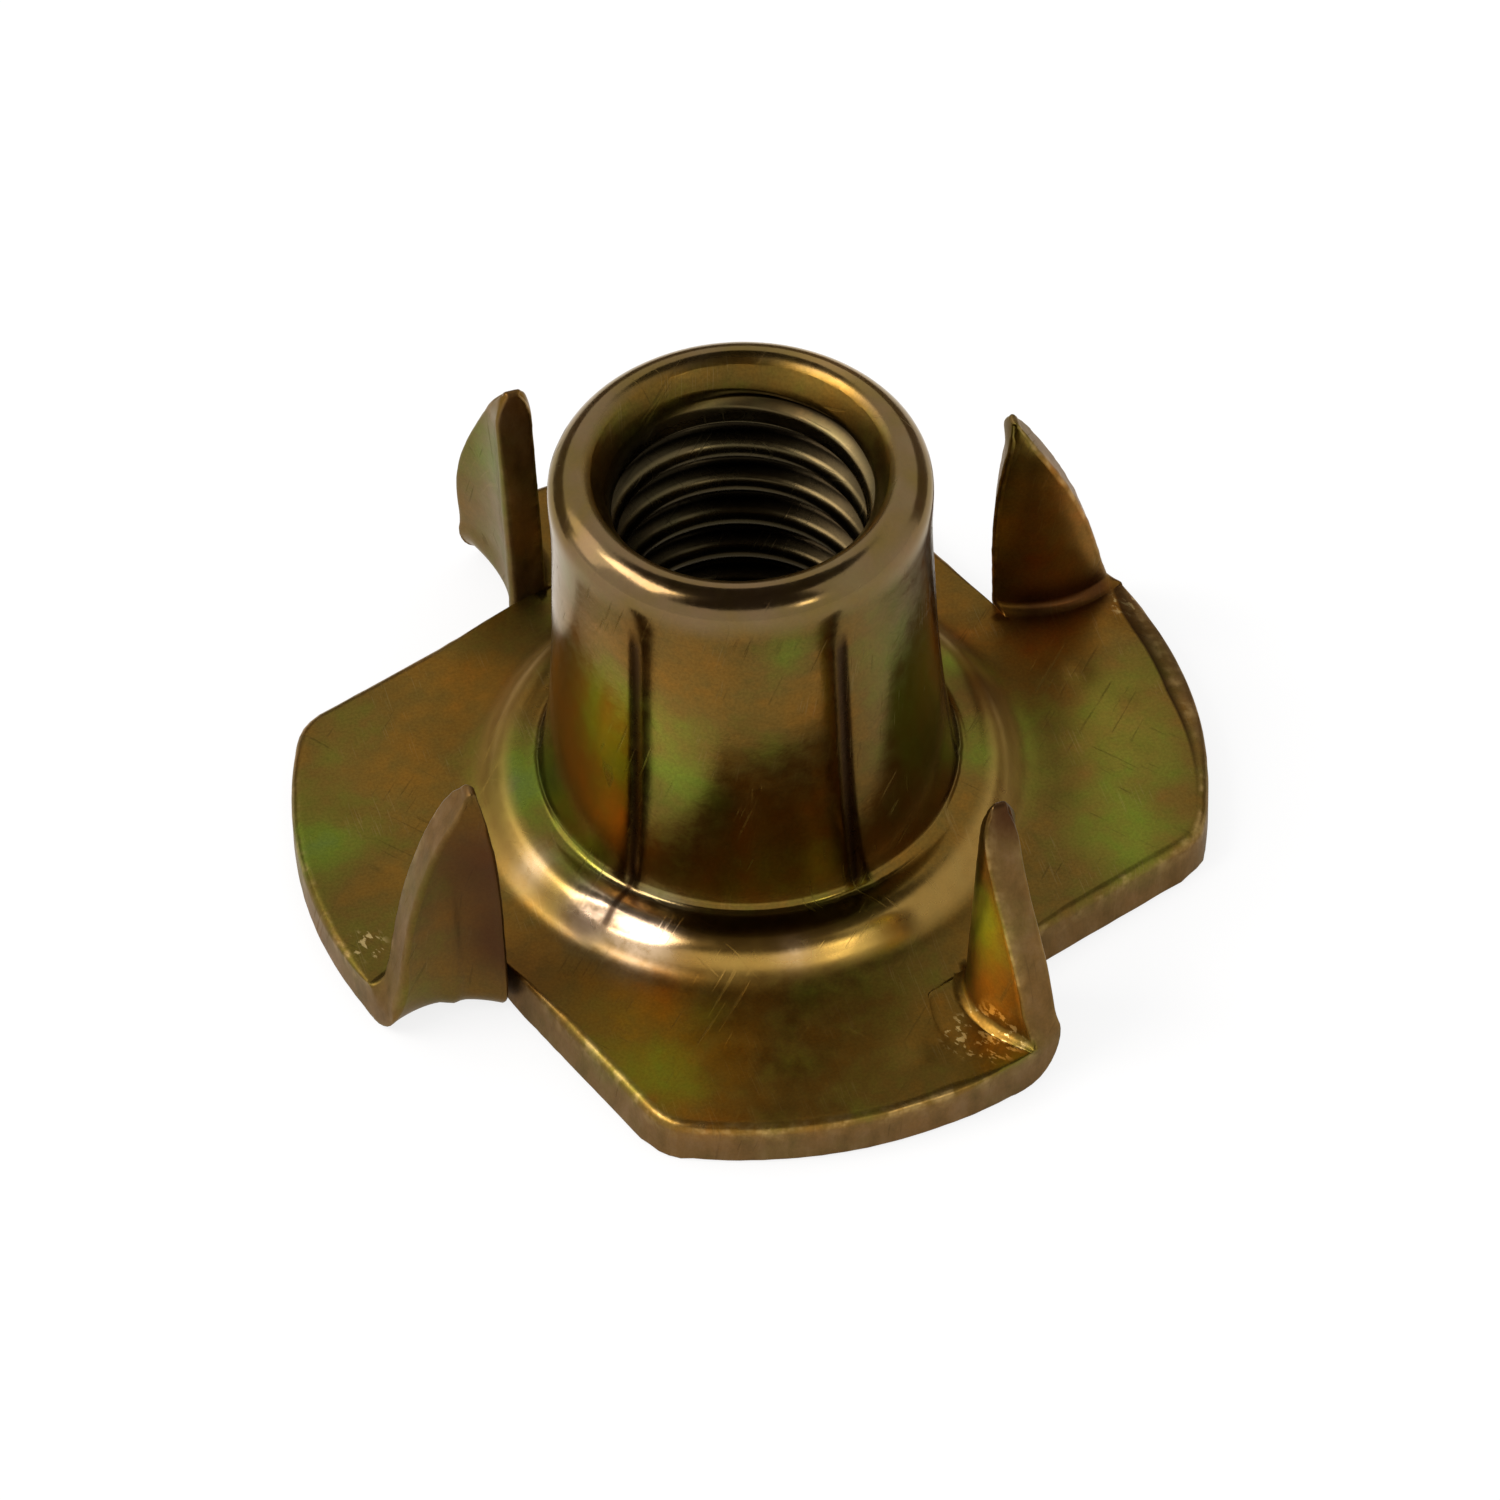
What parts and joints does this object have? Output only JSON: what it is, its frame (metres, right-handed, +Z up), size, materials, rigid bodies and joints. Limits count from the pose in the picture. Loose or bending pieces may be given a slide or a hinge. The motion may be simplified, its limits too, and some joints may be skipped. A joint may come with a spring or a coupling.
{
  "type": "tee nut",
  "caption": "Prong tee nut for wood: a threaded barrel on a lobed flange whose corners are bent up as prongs, yellow zinc finish.",
  "frame": {"origin": "on the thread's axis, at the flange's underside", "axes": "+Z up the barrel to its mouth, +X along the fold of one prong, square to the prong's face"},
  "size_m": [0.019, 0.019, 0.0103],
  "materials": {
    "zinc_plate": "steel, zinc plated and yellow passivated, satin"
  },
  "bodies": {
    "root": {"tee_nut": "zinc_plate"}
  },
  "joints": []
}
